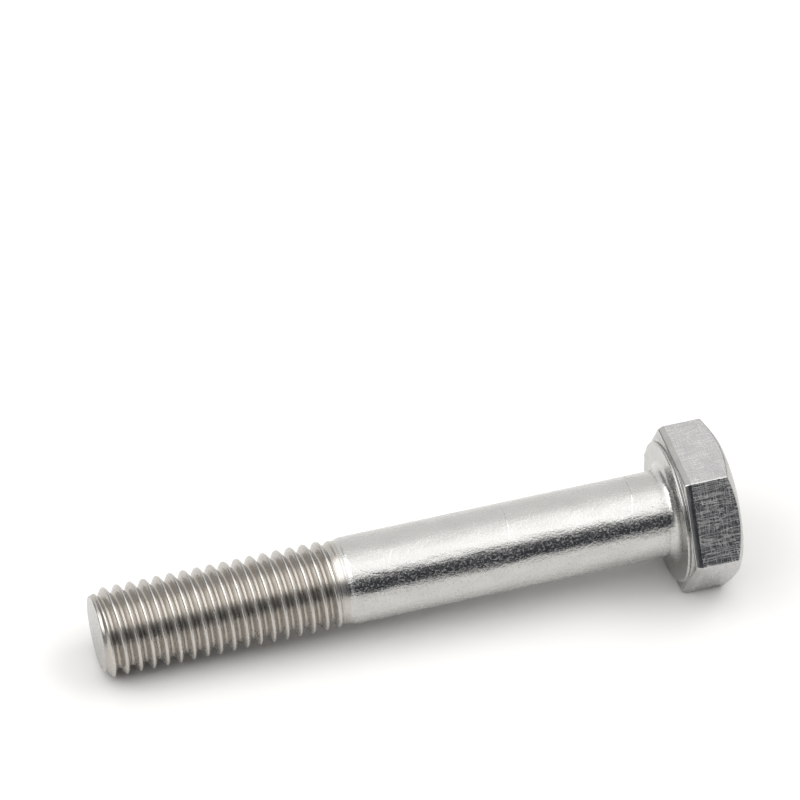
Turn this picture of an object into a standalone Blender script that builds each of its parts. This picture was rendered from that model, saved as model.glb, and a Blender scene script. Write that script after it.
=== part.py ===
"""Hexagon head bolt, M10 x 65, part threaded: one cold-forged piece with a rolled thread.

Metres, +Z up. The bolt's axis lies along X: the centre of the head's top face is the origin and
the tip points to -X. One wrench flat faces straight down and the opposite one straight up.
"""
import math

import bmesh
import bpy

# Head
ACROSS_FLATS = 0.0168
HEAD_HEIGHT = 0.0064
TOP_FACE_DIAMETER = 0.0158
TOP_CHAMFER_DEGREES = 30.0
UNDERSIDE_BEVEL = 0.0003
WASHER_DIAMETER = 0.0159
WASHER_HEIGHT = 0.0005

# Shank
LENGTH = 0.0650
SHANK_DIAMETER = 0.00970
FILLET_RADIUS = 0.0010
FILLET_STEPS = 5

# Thread: right-handed, metric coarse, 60 degree form
PITCH = 0.0015
CREST_DIAMETER = 0.00980
ROOT_DIAMETER = 0.00816
BLANK_DIAMETER = 0.00925
POINT_DIAMETER = 0.00860
POINT_FLAT = 0.00035
POINT_DEGREES = 45.0
FULL_THREAD = 0.0255
RUN_OUT = 0.0020
SHOULDER = 0.0008

# The surface is a grid of points: SEGMENTS columns around the axis
SEGMENTS = 48
MERGE_DISTANCE = 0.000001

# One pitch of the thread as (fraction of the pitch, height between root and crest)
THREAD_FORM = (
    (0.0, 1.0),
    (6 / 48, 1.0),
    (21 / 48, 0.0),
    (33 / 48, 0.0),
)

BEARING_X = -HEAD_HEIGHT
TIP_X = BEARING_X - LENGTH
THREAD_END_X = TIP_X + FULL_THREAD + RUN_OUT


def remove_everything():
    for thing in list(bpy.data.objects):
        bpy.data.objects.remove(thing, do_unlink=True)


def stainless_steel():
    material = bpy.data.materials.new("stainless_steel")
    material.use_nodes = True
    shader = material.node_tree.nodes["Principled BSDF"]
    shader.inputs["Base Color"].default_value = (0.60, 0.59, 0.57, 1.0)
    shader.inputs["Metallic"].default_value = 1.0
    shader.inputs["Roughness"].default_value = 0.32
    return material


def column_angle(column):
    return math.tau * column / SEGMENTS


def hexagon_radius(angle, across_flats):
    """Distance from the axis to a hexagon whose corners lie at multiples of 60 degrees."""
    from_flat = angle % math.radians(60) - math.radians(30)
    return across_flats / 2 / math.cos(from_flat)


def ring(mesh, x_at, radius_at):
    """One closed row of points; x_at and radius_at give a point's place from its angle."""
    points = []
    for column in range(SEGMENTS):
        angle = column_angle(column)
        radius = radius_at(angle)
        place = (x_at(angle), radius * math.cos(angle), radius * math.sin(angle))
        points.append(mesh.verts.new(place))
    return points


def round_ring(mesh, x, radius):
    return ring(mesh, lambda angle: x, lambda angle: radius)


def join_rings(mesh, rings, rise=0):
    """Skins neighbouring rings. On a helix the last column meets the first one rise rings on."""
    last = len(rings) - 1
    for index in range(last):
        for column in range(SEGMENTS - 1):
            low, high = rings[index], rings[index + 1]
            mesh.faces.new((low[column], low[column + 1], high[column + 1], high[column]))
        low, high = rings[index], rings[index + 1]
        seam_low = rings[min(index + rise, last)][0]
        seam_high = rings[min(index + 1 + rise, last)][0]
        corners = [low[-1], seam_low, seam_high, high[-1]]
        if seam_low is seam_high:
            corners.remove(seam_high)
        mesh.faces.new(corners)


def fade(x, start, end):
    return min(max((x - start) / (end - start), 0.0), 1.0)


def thread_radius(x, height):
    """Radius of the thread at x, for a height of 0 at the root and 1 at the crest."""
    faded = fade(x, TIP_X + FULL_THREAD, THREAD_END_X)
    crest = CREST_DIAMETER + (BLANK_DIAMETER - CREST_DIAMETER) * faded
    root = ROOT_DIAMETER + (BLANK_DIAMETER - ROOT_DIAMETER) * faded
    chamfer_rise = max(x - TIP_X - POINT_FLAT, 0.0) * math.tan(math.radians(POINT_DEGREES))
    chamfer = POINT_DIAMETER / 2 + chamfer_rise
    return min((root + (crest - root) * height) / 2, chamfer)


def thread_rings(mesh):
    """Rows that climb one pitch per turn, held at both ends of the thread's length."""
    rings = []
    turns = math.ceil((THREAD_END_X - TIP_X) / PITCH) + 1
    for turn in range(turns + 1):
        for fraction, height in THREAD_FORM:
            start = TIP_X + PITCH * (turn - 1 + fraction)

            def x_at(angle, start=start):
                return min(max(start + PITCH * angle / math.tau, TIP_X), THREAD_END_X)

            def radius_at(angle, x_at=x_at, height=height):
                return thread_radius(x_at(angle), end_height(x_at(angle), angle, height))

            rings.append(ring(mesh, x_at, radius_at))
    return rings


def end_height(x, angle, height):
    """A point held at the tip's plane takes the height that the thread has there."""
    if x > TIP_X:
        return height
    phase = (-angle / math.tau) % 1.0
    return form_height(phase)


def form_height(phase):
    stations = list(THREAD_FORM) + [(1.0, THREAD_FORM[0][1])]
    for (start, low), (end, high) in zip(stations, stations[1:]):
        if phase <= end:
            return low + (high - low) * (phase - start) / (end - start)
    return stations[-1][1]


def shank_rings(mesh):
    """The run from the thread's end to the fillet's end on the bearing face."""
    shank = SHANK_DIAMETER / 2
    rings = [round_ring(mesh, THREAD_END_X + SHOULDER, shank)]
    for step in range(FILLET_STEPS + 1):
        turn = math.radians(90) * step / FILLET_STEPS
        x = BEARING_X - FILLET_RADIUS * (1 - math.sin(turn))
        rings.append(round_ring(mesh, x, shank + FILLET_RADIUS * (1 - math.cos(turn))))
    return rings


def head_rings(mesh):
    """Washer face, bevelled underside, six flats and the chamfer that cuts their top corners."""
    washer = WASHER_DIAMETER / 2
    under_x = BEARING_X + WASHER_HEIGHT
    top = TOP_FACE_DIAMETER / 2
    slope = math.tan(math.radians(TOP_CHAMFER_DEGREES))

    def flats(angle):
        return hexagon_radius(angle, ACROSS_FLATS)

    def bevelled(angle):
        return hexagon_radius(angle, ACROSS_FLATS - 2 * UNDERSIDE_BEVEL)

    return [
        round_ring(mesh, BEARING_X, washer),
        round_ring(mesh, under_x, washer),
        ring(mesh, lambda angle: under_x, bevelled),
        ring(mesh, lambda angle: under_x + UNDERSIDE_BEVEL, flats),
        ring(mesh, lambda angle: -(flats(angle) - top) * slope, flats),
        round_ring(mesh, 0.0, top),
    ]


def hex_bolt():
    mesh = bmesh.new()
    thread = thread_rings(mesh)
    join_rings(mesh, thread, rise=len(THREAD_FORM))
    plain = [thread[-1]] + shank_rings(mesh) + head_rings(mesh)
    join_rings(mesh, plain)
    mesh.faces.new(reversed(thread[0]))
    mesh.faces.new(plain[-1])
    bmesh.ops.remove_doubles(mesh, verts=mesh.verts, dist=MERGE_DISTANCE)
    bmesh.ops.recalc_face_normals(mesh, faces=mesh.faces)

    data = bpy.data.meshes.new("hex_bolt")
    mesh.to_mesh(data)
    mesh.free()
    data.materials.append(stainless_steel())
    data.shade_smooth()
    data.set_sharp_from_angle(angle=math.radians(25))
    bolt = bpy.data.objects.new("hex_bolt", data)
    bpy.context.scene.collection.objects.link(bolt)
    return bolt


remove_everything()
hex_bolt()
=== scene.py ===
"""Looks of the hexagon head bolt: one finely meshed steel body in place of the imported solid.

Metres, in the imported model's frame: the bolt's axis lies along X, the head's top face is at x = 0
and the tip points to -X, with one wrench flat facing down.
"""
import math

import bmesh
import bpy
import numpy as np
from mathutils import Matrix, Vector


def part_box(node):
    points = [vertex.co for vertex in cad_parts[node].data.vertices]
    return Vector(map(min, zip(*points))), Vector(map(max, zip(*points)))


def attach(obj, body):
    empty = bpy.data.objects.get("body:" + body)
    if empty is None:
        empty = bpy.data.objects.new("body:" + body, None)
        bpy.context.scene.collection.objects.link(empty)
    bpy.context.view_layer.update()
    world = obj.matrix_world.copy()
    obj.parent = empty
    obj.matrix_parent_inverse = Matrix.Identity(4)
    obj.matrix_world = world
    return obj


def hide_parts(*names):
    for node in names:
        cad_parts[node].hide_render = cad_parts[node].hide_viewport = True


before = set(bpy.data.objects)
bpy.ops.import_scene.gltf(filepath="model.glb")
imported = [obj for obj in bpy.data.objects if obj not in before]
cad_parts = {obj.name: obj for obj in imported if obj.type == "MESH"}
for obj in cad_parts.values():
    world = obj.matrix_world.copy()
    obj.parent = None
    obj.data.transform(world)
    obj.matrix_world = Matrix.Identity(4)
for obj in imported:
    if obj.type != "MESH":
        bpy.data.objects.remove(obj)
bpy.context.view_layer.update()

MM = 0.001

# ---------------------------------------------------------------- sizes, in metres
low_corner, high_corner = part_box("hex_bolt")
ACROSS_FLATS = high_corner.z - low_corner.z
TIP_X = low_corner.x
HEAD_HEIGHT = 6.4 * MM
BEARING_X = -HEAD_HEIGHT

TOP_FACE_RADIUS = 7.9 * MM
TOP_CHAMFER_SLOPE = math.tan(math.radians(30))
CORNER_RADIUS = 0.20 * MM
UNDERSIDE_INSET = 0.22 * MM
UNDERSIDE_LENGTH = 0.70 * MM
WASHER_RADIUS = 7.95 * MM
WASHER_HEIGHT = 0.5 * MM
GROOVE_DEPTH = 0.08 * MM
GROOVE_START = 0.16 * MM
GROOVE_FLOOR = 0.10 * MM
UNDERSIDE_CURVE = 1.6
EDGE_ROUND = 0.11 * MM
EDGE_SINK = 0.9 * EDGE_ROUND
TOP_EDGE_OUTSIDE = 0.03 * MM
TOP_EDGE_INSIDE = 0.05 * MM
RIM_ROUND = 0.16 * MM
BEARING_DISH = 0.02 * MM
FOOT_ROUND = 0.05 * MM

# Stamped bars on the top face: radius, place in degrees, half length in degrees
STAMPED_BARS = (
    (6.35 * MM, 90, 24),
    (5.35 * MM, 90, 12),
    (6.0 * MM, 270, 30),
)
STAMP_DEPTH = 0.11 * MM
STAMP_HALF_WIDTH = 0.36 * MM
STAMP_END_DEGREES = 6
STAMP_OUTSIDE = 6.8 * MM
STAMP_INSIDE = 4.9 * MM

SHANK_RADIUS = 4.85 * MM
FILLET_RADIUS = 1.0 * MM

PITCH = 1.5 * MM
CREST_RADIUS = 4.90 * MM
ROOT_RADIUS = 4.08 * MM
PITCH_RADIUS = 4.45 * MM
BLANK_RADIUS = 4.625 * MM
POINT_RADIUS = 4.30 * MM
POINT_ROUND = 0.12 * MM
POINT_LAND = 0.3 * MM
CREST_ROUND = 0.16 * MM
ROOT_ROUND = 0.22 * MM
CONE_ROUND = 0.06 * MM
FIRST_TURN = 0.9 * PITCH
FIRST_CREST = 0.8 * PITCH
FIRST_TURN_FILL = 0.75
FULL_THREAD = 25.5 * MM
RUN_OUT = 2.0 * MM
SHOULDER = 0.8 * MM
THREAD_END_X = TIP_X + FULL_THREAD + RUN_OUT

# The mesh is a grid: COLUMNS around the axis, and rows that run from the tip to the head's top.
# A share says how far the columns crowd towards the hexagon's corners, from 0 to 1
COLUMNS = 216
ROWS_PER_PITCH = 16
CORNER_SHARE = 0.88
TOP_SHARE = 0.3
WELD_DISTANCE = 0.0005 * MM
ANGLES = np.arange(COLUMNS) * math.tau / COLUMNS

# Material slots of the body
THREAD, SHANK, FLATS, FACES, EDGES = range(5)


# ---------------------------------------------------------------- shape helpers
def smoothstep(value, start, end):
    """0 up to start, 1 from end on, and an even S-shaped rise between them."""
    t = np.clip((value - start) / (end - start), 0.0, 1.0)
    return t * t * (3 - 2 * t)


def soft_min(a, b, width):
    """The smaller of two values, with a round transition of the given width where they meet."""
    h = np.clip(0.5 + 0.5 * (b - a) / width, 0.0, 1.0)
    return b + (a - b) * h - width * h * (1 - h)


def soft_max(a, b, width):
    """The larger of two values, rounded in the same way."""
    return -soft_min(-a, -b, width)


def crowded(angles, share):
    """Angles drawn towards the hexagon's corners, which lie at multiples of 60 degrees."""
    return angles - share * np.sin(6 * angles) / 6


def hexagon(angles, across_flats, corner_radius):
    """Distance from the axis to a hexagon with rounded corners, for each angle."""
    apothem = across_flats / 2
    tilt = math.radians(30)
    from_corner = np.abs((angles + tilt) % (2 * tilt) - tilt)
    centre = (apothem - corner_radius) / math.cos(tilt)
    tangent = math.atan2(corner_radius * math.sin(tilt), centre + corner_radius * math.cos(tilt))
    flat = apothem / np.cos(tilt - from_corner)
    inside = np.maximum(corner_radius**2 - (centre * np.sin(from_corner)) ** 2, 0.0)
    arc = centre * np.cos(from_corner) + np.sqrt(inside)
    return np.where(from_corner < tangent, arc, flat)


# ---------------------------------------------------------------- thread
def thread_radius(x, phase):
    """Radius of the rolled thread at x, for a phase of 0 on the crest and 0.5 in the root."""
    faded = np.clip((x - TIP_X - FULL_THREAD) / RUN_OUT, 0.0, 1.0)
    crest = CREST_RADIUS + (BLANK_RADIUS - CREST_RADIUS) * faded
    root = ROOT_RADIUS + (BLANK_RADIUS - ROOT_RADIUS) * smoothstep(faded, 0.0, 1.0)
    unrolled = 1 - smoothstep(x, TIP_X, TIP_X + FIRST_TURN)
    root = root + (POINT_RADIUS - CONE_ROUND - root) * unrolled * FIRST_TURN_FILL
    from_crest = np.abs((phase + 0.5) % 1.0 - 0.5) * PITCH
    flank = PITCH_RADIUS + (PITCH / 4 - from_crest) * math.sqrt(3)
    rolled = soft_max(soft_min(flank, crest, CREST_ROUND), root, ROOT_ROUND)
    return np.minimum(rolled, np.maximum(crest, root))


def point_radius(x):
    """The cone at the tip, which rounds over into the end face."""
    along = np.maximum(x - TIP_X, 0.0)
    rounding = np.sqrt(np.maximum(POINT_ROUND**2 - np.maximum(POINT_ROUND - along, 0.0) ** 2, 0.0))
    return POINT_RADIUS - POINT_ROUND + rounding + np.maximum(along - POINT_LAND, 0.0)


def row_phases():
    """Fractions of a pitch for the rows, closer together on the crest and in the root."""
    even = np.arange(ROWS_PER_PITCH) / ROWS_PER_PITCH
    return even - 0.6 * np.sin(4 * math.pi * even) / (4 * math.pi)


def thread_rows():
    """Rows that climb one pitch per turn, held at both ends of the thread."""
    rows = []
    turns = math.ceil((THREAD_END_X - TIP_X) / PITCH) + 1
    for turn in range(turns + 1):
        for fraction in row_phases():
            x = TIP_X + PITCH * (turn - 1 + fraction + ANGLES / math.tau)
            x = np.clip(x, TIP_X, THREAD_END_X)
            phase = (x - TIP_X) / PITCH - ANGLES / math.tau
            radius = soft_min(thread_radius(x, phase), point_radius(x), CONE_ROUND)
            rows.append((x, radius, ANGLES, THREAD))
    return rows


# ---------------------------------------------------------------- shank and head
def arc(start, end, steps):
    """Angles of a rounding, in radians, without the first one."""
    return [math.radians(start + (end - start) * (i + 1) / steps) for i in range(steps)]


def plain(x, radius, share, material):
    """One row at a constant x and radius; x or radius may also vary with the angle."""
    return (x + 0 * ANGLES, radius + 0 * ANGLES, crowded(ANGLES, share), material)


def shank_rows():
    """The shoulder up from the rolled blank, the plain shank and the fillet under the head."""
    rows = []
    for step in range(1, 7):
        part = step / 6
        rise = (SHANK_RADIUS - BLANK_RADIUS) * smoothstep(part, 0.0, 1.0)
        rows.append(plain(THREAD_END_X + SHOULDER * part, BLANK_RADIUS + rise, 0.0, SHANK))
    start = THREAD_END_X + SHOULDER
    end = BEARING_X - FILLET_RADIUS
    for step in range(1, 9):
        rows.append(plain(start + (end - start) * step / 9, SHANK_RADIUS, 0.0, SHANK))
    for turn in [0.0] + arc(0, 84, 10):
        x = end + FILLET_RADIUS * math.sin(turn)
        radius = SHANK_RADIUS + FILLET_RADIUS * (1 - math.cos(turn))
        rows.append(plain(x, radius, 0.0, SHANK))
    return rows


def washer_rows():
    """The bearing face, faintly dished, its rounded rim and the step down to the hexagon."""
    rows = []
    inner = SHANK_RADIUS + FILLET_RADIUS
    flat_end = WASHER_RADIUS - RIM_ROUND
    for step in range(7):
        part = step / 6
        dish = BEARING_DISH * math.sin(math.pi * part)
        radius = inner + (flat_end - inner) * part
        rows.append(plain(BEARING_X + dish, radius, 0.5 * part, EDGES))
    for turn in arc(0, 90, 5):
        x = BEARING_X + RIM_ROUND * (1 - math.cos(turn))
        rows.append(plain(x, flat_end + RIM_ROUND * math.sin(turn), 0.6, FACES))
    foot = BEARING_X + WASHER_HEIGHT
    rows.append(plain(foot - GROOVE_START, WASHER_RADIUS, 0.7, FACES))
    rows.append(plain(foot - GROOVE_FLOOR, WASHER_RADIUS - GROOVE_DEPTH, 0.72, FACES))
    rows.append(plain(foot, WASHER_RADIUS - GROOVE_DEPTH, 0.75, FACES))
    return rows


def hexagon_rows():
    """The rounded underside edge, the flats and the chamfer that cuts the top corners."""
    rows = []
    foot = BEARING_X + WASHER_HEIGHT
    angles = crowded(ANGLES, CORNER_SHARE)
    full = hexagon(angles, ACROSS_FLATS, CORNER_RADIUS)

    def row(x, inset, material):
        shrunk = hexagon(angles, ACROSS_FLATS - 2 * inset, CORNER_RADIUS)
        rows.append((x + 0 * ANGLES, shrunk, angles, material))

    row(foot, UNDERSIDE_INSET + FOOT_ROUND, FACES)
    for step in range(9):
        part = step / 8
        row(foot + UNDERSIDE_LENGTH * part, UNDERSIDE_INSET * (1 - part) ** UNDERSIDE_CURVE, EDGES)

    start = foot + UNDERSIDE_LENGTH
    chamfer = -(full - TOP_FACE_RADIUS) * TOP_CHAMFER_SLOPE
    end = chamfer - EDGE_ROUND
    for step in range(1, 9):
        rows.append((start + (end - start) * step / 8, full, angles, FLATS))
    for turn in arc(0, 60, 4):
        x = end + EDGE_ROUND * math.sin(turn)
        rows.append((x, full - EDGE_SINK * (1 - math.cos(turn)), angles, FACES))
    return rows


def top_rows():
    """The chamfer cone's last part, its rounding and the flat top with its stamped marks."""
    rows = []
    outer = rows_end_radius()
    for step in range(1, 5):
        part = step / 4
        radius = outer + (TOP_FACE_RADIUS + TOP_EDGE_OUTSIDE - outer) * part
        x = -(radius - TOP_FACE_RADIUS) * TOP_CHAMFER_SLOPE
        rows.append((np.minimum(x, 0.0), radius, crowded(ANGLES, CORNER_SHARE - 0.5 * part), FACES))
    edge = TOP_FACE_RADIUS - TOP_EDGE_INSIDE
    rows.append(plain(0.0, edge, TOP_SHARE, FACES))
    for radius in top_radii(edge):
        share = TOP_SHARE * max(0.0, 4 * radius / edge - 3)
        angles = crowded(ANGLES, share)
        rows.append((-stamp_depth(radius, angles), radius + 0 * ANGLES, angles, FACES))
    return rows


def top_radii(edge):
    """Radii from the edge inwards, closest together where the marks are stamped."""
    outside = np.linspace(edge, STAMP_OUTSIDE, 6)[1:]
    stamped = np.linspace(STAMP_OUTSIDE, STAMP_INSIDE, 38)[1:]
    inside = np.linspace(STAMP_INSIDE, 0.0, 9)[1:-1]
    return [*outside, *stamped, *inside]


def rows_end_radius():
    """Where the last row of the flats ends, and the chamfer cone goes on."""
    angles = crowded(ANGLES, CORNER_SHARE)
    return hexagon(angles, ACROSS_FLATS, CORNER_RADIUS) - EDGE_SINK / 2


def stamp_depth(radius, angles):
    """Two plain curved bars on one side and one longer bar on the other, pressed into the top."""
    depth = 0 * angles
    for middle, at, half in STAMPED_BARS:
        across = 1 - smoothstep(abs(radius - middle), 0.0, STAMP_HALF_WIDTH)
        away = np.abs((angles - math.radians(at) + math.pi) % math.tau - math.pi)
        end = math.radians(half)
        along = 1 - smoothstep(away, end - math.radians(STAMP_END_DEGREES), end)
        depth = np.maximum(depth, STAMP_DEPTH * across * along)
    return depth


# ---------------------------------------------------------------- the body's mesh
def grid_points(rows):
    """Points of all rows: a table of rows by columns."""
    x = np.array([row[0] for row in rows])
    radius = np.array([row[1] for row in rows])
    angle = np.array([row[2] for row in rows])
    return np.stack([x, radius * np.cos(angle), radius * np.sin(angle)], axis=-1)


def grid_faces(rows, helix_rows):
    """Quads between rows. On the helix the last column meets the first one a whole pitch on."""
    faces, slots = [], []
    for index in range(len(rows) - 1):
        low = index * COLUMNS
        high = low + COLUMNS
        on_helix = index < helix_rows - 1
        for column in range(COLUMNS - 1):
            faces.append((low + column, low + column + 1, high + column + 1, high + column))
            slots.append(rows[index + 1][3])
        rise = ROWS_PER_PITCH if on_helix else 0
        last = helix_rows - 1 if on_helix else len(rows)
        near = min(index + rise, last) * COLUMNS
        far = min(index + 1 + rise, last) * COLUMNS
        if near == far:
            faces.append((low + COLUMNS - 1, near, high + COLUMNS - 1))
        else:
            faces.append((low + COLUMNS - 1, near, far, high + COLUMNS - 1))
        slots.append(rows[index + 1][3])
    return faces, slots


def bolt_body():
    """The whole bolt as one closed mesh, with a fan of triangles at each end."""
    helix = thread_rows()
    rows = helix + shank_rows() + washer_rows() + hexagon_rows() + top_rows()
    points = grid_points(rows).reshape(-1, 3)
    faces, slots = grid_faces(rows, len(helix))

    end_centre = len(points)
    top_centre = end_centre + 1
    extra = np.array([[TIP_X, 0.0, 0.0], [0.0, 0.0, 0.0]])
    points = np.vstack([points, extra])
    last = (len(rows) - 1) * COLUMNS
    for column in range(COLUMNS):
        beside = (column + 1) % COLUMNS
        faces.append((end_centre, beside, column))
        faces.append((top_centre, last + column, last + beside))
        slots.extend((FACES, FACES))

    mesh = bpy.data.meshes.new("bolt_body")
    mesh.from_pydata(points.tolist(), [], faces)
    mesh.polygons.foreach_set("material_index", slots)
    mesh.validate()
    body = bpy.data.objects.new("bolt_body", mesh)
    bpy.context.scene.collection.objects.link(body)
    return body


def finish_body(body):
    """Welds the rows held at the thread's ends, smooths all but the end face, and lets the large
    faces rule the shading."""
    mesh = bmesh.new()
    mesh.from_mesh(body.data)
    bmesh.ops.remove_doubles(mesh, verts=mesh.verts, dist=WELD_DISTANCE)
    bmesh.ops.recalc_face_normals(mesh, faces=mesh.faces)
    for face in mesh.faces:
        face.smooth = any(vert.co.x > TIP_X + 2 * WELD_DISTANCE for vert in face.verts)
    mesh.to_mesh(body.data)
    mesh.free()
    weighted = body.modifiers.new("even_flats", "WEIGHTED_NORMAL")
    weighted.mode = "FACE_AREA"
    weighted.weight = 60
    weighted.keep_sharp = True


# ---------------------------------------------------------------- steel
def node(tree, kind, inputs=None, **settings):
    """A new node; an input is either a value or the socket that feeds it."""
    made = tree.nodes.new(kind)
    for name, value in settings.items():
        setattr(made, name, value)
    for name, value in (inputs or {}).items():
        if isinstance(value, bpy.types.NodeSocket):
            tree.links.new(value, made.inputs[name])
        else:
            made.inputs[name].default_value = value
    return made


def stretched(tree, along, across):
    """Places on the bolt in 1/mm, squeezed along the axis and across it."""
    place = node(tree, "ShaderNodeTexCoord").outputs["Object"]
    factor = (along / MM, across / MM, across / MM)
    return node(tree, "ShaderNodeVectorMath", {0: place, 1: factor}, operation="MULTIPLY").outputs[0]


def noise(tree, along, across, detail=3.0, rough=0.6):
    """Grain with the given number of grains for each millimetre along and across the axis."""
    inputs = {
        "Vector": stretched(tree, along, across),
        "Scale": 1.0,
        "Detail": detail,
        "Roughness": rough,
    }
    return node(tree, "ShaderNodeTexNoise", inputs).outputs["Fac"]


def ranged(tree, value, low, high, start=0.3, end=0.7):
    """Maps start..end to low..high. Noise lies mostly between 0.3 and 0.7."""
    inputs = {"Value": value, "From Min": start, "From Max": end, "To Min": low, "To Max": high}
    return node(tree, "ShaderNodeMapRange", inputs).outputs["Result"]


def bumped(tree, height, depth, normal=None):
    """The normal of a relief of the given depth, over an earlier normal."""
    inputs = {"Height": height, "Distance": depth, "Strength": 1.0}
    if normal is not None:
        inputs["Normal"] = normal
    return node(tree, "ShaderNodeBump", inputs).outputs["Normal"]


def summed(tree, parts):
    """Sum of values with their weights."""
    total = None
    for value, weight in parts:
        inputs = {0: value, 1: weight}
        if total is not None:
            inputs[2] = total
        kind = "MULTIPLY" if total is None else "MULTIPLY_ADD"
        total = node(tree, "ShaderNodeMath", inputs, operation=kind).outputs[0]
    return total


def lines(tree, along, across, width, detail=2.0):
    """Thin wandering lines: 1 where a stretched noise crosses its middle value, 0 elsewhere."""
    fac = noise(tree, along, across, detail=detail, rough=0.5)
    off = node(tree, "ShaderNodeMath", {0: fac, 1: 0.5}, operation="SUBTRACT").outputs[0]
    away = node(tree, "ShaderNodeMath", {0: off}, operation="ABSOLUTE").outputs[0]
    return ranged(tree, away, 1.0, 0.0, 0.0, width)


def bare_steel(name, colours, stain):
    """Metal whose colour drifts between the two given ones in soft patches."""
    material = bpy.data.materials.new(name)
    material.use_nodes = True
    tree = material.node_tree
    shader = tree.nodes["Principled BSDF"]
    shader.inputs["Metallic"].default_value = 1.0
    patches = noise(tree, *stain)
    mix = node(tree, "ShaderNodeMix", {"Factor": ranged(tree, patches, 0.0, 1.0)}, data_type="RGBA")
    mix.inputs["A"].default_value = (*colours[0], 1.0)
    mix.inputs["B"].default_value = (*colours[1], 1.0)
    tree.links.new(mix.outputs["Result"], shader.inputs["Base Color"])
    return material, tree, shader


def tinted(tree, shader, unshaded_or_scratched, tint):
    """Multiplies the colour by a tint where the mask is 0 and leaves it where the mask is 1: painted
    shade in the thread's roots, and a darker, slightly cool ground between the scratches on the flats.
    """
    shade = node(tree, "ShaderNodeMix", {"Factor": unshaded_or_scratched}, data_type="RGBA")
    shade.inputs["A"].default_value = (*tint, 1.0)
    shade.inputs["B"].default_value = (1.0, 1.0, 1.0, 1.0)
    colour = node(tree, "ShaderNodeMix", data_type="RGBA", blend_type="MULTIPLY")
    colour.inputs["Factor"].default_value = 1.0
    tree.links.new(shader.inputs["Base Color"].links[0].from_socket, colour.inputs["A"])
    tree.links.new(shade.outputs["Result"], colour.inputs["B"])
    tree.links.new(colour.outputs["Result"], shader.inputs["Base Color"])


def surface(tree, shader, height, depth, waves, rough):
    """Joins the fine relief, laid over soft waves, and the roughness to the shader."""
    uneven = bumped(tree, noise(tree, waves[0], waves[1], detail=1.0), waves[2])
    tree.links.new(bumped(tree, height, depth, uneven), shader.inputs["Normal"])
    tree.links.new(rough, shader.inputs["Roughness"])


def thread_steel():
    """Smooth rolled metal, a little warm, with painted shade darkening the roots, streaked round the
    thread.
    """
    colours = ((0.50, 0.475, 0.445), (0.57, 0.55, 0.52))
    material, tree, shader = bare_steel("thread_steel", colours, (1.2, 0.5))
    place = node(tree, "ShaderNodeTexCoord").outputs["Object"]
    flattened = node(tree, "ShaderNodeVectorMath", {0: place, 1: (0.0, 1.0, 1.0)}, operation="MULTIPLY")
    radius = node(tree, "ShaderNodeVectorMath", {0: flattened.outputs[0]}, operation="LENGTH")
    height = ranged(tree, radius.outputs["Value"], 0.0, 1.0, ROOT_RADIUS, CREST_RADIUS)
    # Painted shade: the colour is multiplied darker towards the thread's roots, where the grooves lie
    # in shade.
    tinted(tree, shader, height, (0.80, 0.785, 0.765))

    streaks = noise(tree, 9.0, 1.2)
    rough = ranged(tree, streaks, 0.23, 0.35)
    surface(tree, shader, streaks, 0.004 * MM, (0.8, 0.8, 0.012 * MM), rough)
    return material


def shank_steel():
    """Drawn metal with a sandy grain, dull specks in a smoother ground, and a few scratches."""
    colours = ((0.51, 0.505, 0.49), (0.56, 0.555, 0.54))
    material, tree, shader = bare_steel("shank_steel", colours, (0.25, 0.6))
    coarse = noise(tree, 2.6, 3.8)
    fine = noise(tree, 7.0, 8.0)
    scratches = lines(tree, 0.16, 0.10, 0.004, detail=0.0)
    height = summed(tree, ((coarse, 0.7), (fine, 0.3), (scratches, -0.25)))
    rough = ranged(tree, noise(tree, 4.0, 5.0), 0.14, 0.46, 0.48, 0.68)
    surface(tree, shader, height, 0.040 * MM, (0.25, 0.6, 0.08 * MM), rough)
    return material


def flat_steel():
    """Wrench flats: smooth metal crossed by close, fine scratches along and across."""
    colours = ((0.61, 0.603, 0.592), (0.68, 0.67, 0.655))
    material, tree, shader = bare_steel("flat_steel", colours, (0.4, 0.4))
    lengthwise = lines(tree, 0.25, 3.0, 0.028)
    crosswise = lines(tree, 3.0, 0.25, 0.028)
    grain = noise(tree, 5.0, 5.0)
    scratched = summed(tree, ((lengthwise, 0.3), (crosswise, 0.3), (grain, 0.6)))
    tinted(tree, shader, ranged(tree, scratched, 0.0, 1.0, 0.15, 0.75), (0.76, 0.765, 0.78))
    rough = ranged(tree, scratched, 0.18, 0.59, 0.18, 0.90)
    surface(tree, shader, scratched, 0.018 * MM, (0.3, 0.3, 0.02 * MM), rough)
    return material


def face_steel():
    """Bearing face, chamfer, top and end face: evenly dull, with faint grain."""
    colours = ((0.44, 0.436, 0.425), (0.50, 0.495, 0.482))
    material, tree, shader = bare_steel("face_steel", colours, (0.6, 0.6))
    grain = noise(tree, 5.0, 5.0)
    rough = ranged(tree, grain, 0.22, 0.34)
    surface(tree, shader, grain, 0.008 * MM, (0.5, 0.5, 0.02 * MM), rough)
    return material


def edge_steel():
    """The rolled-over edge under the flats, rubbed smooth."""
    colours = ((0.41, 0.405, 0.39), (0.47, 0.465, 0.45))
    material, tree, shader = bare_steel("edge_steel", colours, (0.6, 0.6))
    streaks = noise(tree, 6.0, 1.0)
    rough = ranged(tree, streaks, 0.14, 0.26)
    surface(tree, shader, streaks, 0.003 * MM, (0.4, 0.4, 0.015 * MM), rough)
    return material


# ---------------------------------------------------------------- studio
HEAD_EDGE = Vector((BEARING_X + WASHER_HEIGHT + UNDERSIDE_LENGTH, 0.0, low_corner.z))
FLOOR_SIZE = 8.0
TIP_REST = Vector((TIP_X + FIRST_CREST, 0.0, -CREST_RADIUS))


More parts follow.
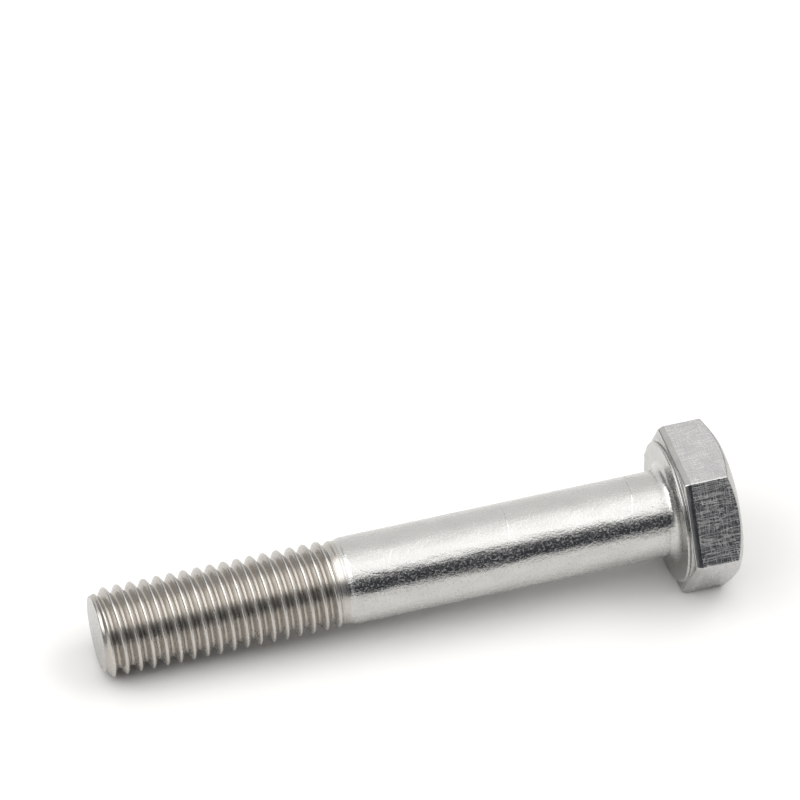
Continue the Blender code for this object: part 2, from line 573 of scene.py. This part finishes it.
def studio_floor():
    """A pale table top, touching the lower flat's edge and the thread's end, as the bolt lies."""
    slope = TIP_REST - HEAD_EDGE
    tilt = math.atan2(slope.z, -slope.x)
    bpy.ops.mesh.primitive_plane_add(size=FLOOR_SIZE)
    floor = bpy.context.object
    floor.name = "floor"
    floor.rotation_euler = (0.0, tilt, 0.0)
    floor.location = HEAD_EDGE
    material = bpy.data.materials.new("pale_floor")
    material.use_nodes = True
    shader = material.node_tree.nodes["Principled BSDF"]
    shader.inputs["Base Color"].default_value = (0.80, 0.79, 0.775, 1.0)
    shader.inputs["Roughness"].default_value = 0.7
    shader.inputs["Specular IOR Level"].default_value = 0.2
    floor.data.materials.append(material)


# Brightness of the studio by angle in degrees, from the horizon in front, over the top, to the one
# behind: straight over the bolt, then further to both sides, with brighter boxes and darker walls
SKY = (
    (0, 0.05),
    (38, 0.05),
    (46, 0.40),
    (54, 1.74),
    (80, 1.74),
    (96, 1.53),
    (110, 1.20),
    (135, 1.01),
    (180, 1.03),
)
SIDE_SKY = (
    (0, 0.22),
    (46, 0.30),
    (58, 3.60),
    (112, 3.60),
    (126, 0.30),
    (180, 0.20),
)
ENDS = 0.25

# Levels under DIM are the dim room, which is a little cool
DIM = 0.25
DIM_TINT = (0.88, 0.965, 1.13)
PEAK = max(value for _, value in SKY + SIDE_SKY)


def sky_ramp(tree, share, levels):
    """Brightness levels as parts of PEAK, with a cool tint in the dim room."""
    ramp = node(tree, "ShaderNodeValToRGB", {"Fac": share})
    stops = ramp.color_ramp.elements
    stops.remove(stops[-1])
    for index, (angle, value) in enumerate(levels):
        stop = stops[0] if index == 0 else stops.new(angle / 180)
        stop.position = angle / 180
        tint = DIM_TINT if value < DIM else (1.0, 1.0, 1.0)
        stop.color = (*(part * value / PEAK for part in tint), 1.0)
    return ramp.outputs["Color"]


def blended(tree, factor, first, second):
    """A mix of a colour socket with a second one, or with a plain colour."""
    mix = node(tree, "ShaderNodeMix", {"Factor": factor}, data_type="RGBA")
    tree.links.new(first, mix.inputs["A"])
    if isinstance(second, bpy.types.NodeSocket):
        tree.links.new(second, mix.inputs["B"])
    else:
        mix.inputs["B"].default_value = second
    return mix.outputs["Result"]


def studio_world():
    """A wide soft box overhead with a brighter one on each side, a pale wall behind, and a dim room
    in front and at both ends."""
    world = bpy.data.worlds.new("studio")
    bpy.context.scene.world = world
    world.use_nodes = True
    tree = world.node_tree
    direction = node(tree, "ShaderNodeTexCoord").outputs["Generated"]
    parts = node(tree, "ShaderNodeSeparateXYZ", {"Vector": direction}).outputs
    front = node(tree, "ShaderNodeMath", {0: parts["Y"], 1: -1.0}, operation="MULTIPLY").outputs[0]
    height = node(tree, "ShaderNodeMath", {0: parts["Z"]}, operation="ABSOLUTE").outputs[0]
    turn = node(tree, "ShaderNodeMath", {0: height, 1: front}, operation="ARCTAN2").outputs[0]
    share = node(tree, "ShaderNodeMath", {0: turn, 1: math.pi}, operation="DIVIDE").outputs[0]
    sideways = node(tree, "ShaderNodeMath", {0: parts["X"]}, operation="ABSOLUTE").outputs[0]

    middle = sky_ramp(tree, share, SKY)
    beside = sky_ramp(tree, share, SIDE_SKY)
    colour = blended(tree, ranged(tree, sideways, 0.0, 1.0, 0.34, 0.50), middle, beside)
    even = ENDS / PEAK
    ends = ranged(tree, sideways, 0.0, 1.0, 0.74, 0.84)
    colour = blended(tree, ends, colour, (even, even, even, 1.0))
    background = tree.nodes["Background"]
    tree.links.new(colour, background.inputs["Color"])
    background.inputs["Strength"].default_value = PEAK


# ---------------------------------------------------------------- camera
AIM = Vector((-33.0, 13.3, 12.4)) * MM
DISTANCE = 0.660
AZIMUTH = -15.51
ELEVATION = 43.33
ROLL = -1.07
LENS = 270.0


def studio_camera():
    """A long lens that looks down on the bolt from the front, a little from the thread's side."""
    azimuth, elevation, roll = (math.radians(value) for value in (AZIMUTH, ELEVATION, ROLL))
    towards = Vector((
        math.sin(azimuth) * math.cos(elevation),
        -math.cos(azimuth) * math.cos(elevation),
        math.sin(elevation),
    ))
    level = Vector((math.cos(azimuth), math.sin(azimuth), 0.0))
    upright = towards.cross(level)
    right = level * math.cos(roll) + upright * math.sin(roll)
    up = towards.cross(right)
    turned = Matrix((right, up, towards)).transposed().to_4x4()
    camera = bpy.data.objects.new("camera", bpy.data.cameras.new("camera"))
    camera.matrix_world = Matrix.Translation(AIM + towards * DISTANCE) @ turned
    camera.data.lens = LENS
    camera.data.sensor_width = 36.0
    camera.data.clip_end = 50.0
    bpy.context.scene.collection.objects.link(camera)
    bpy.context.scene.camera = camera


body = bolt_body()
finish_body(body)
for material in (thread_steel(), shank_steel(), flat_steel(), face_steel(), edge_steel()):
    body.data.materials.append(material)
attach(body, "root")
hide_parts("hex_bolt")

studio_floor()
studio_world()
studio_camera()
bpy.context.scene.view_settings.view_transform = "Standard"
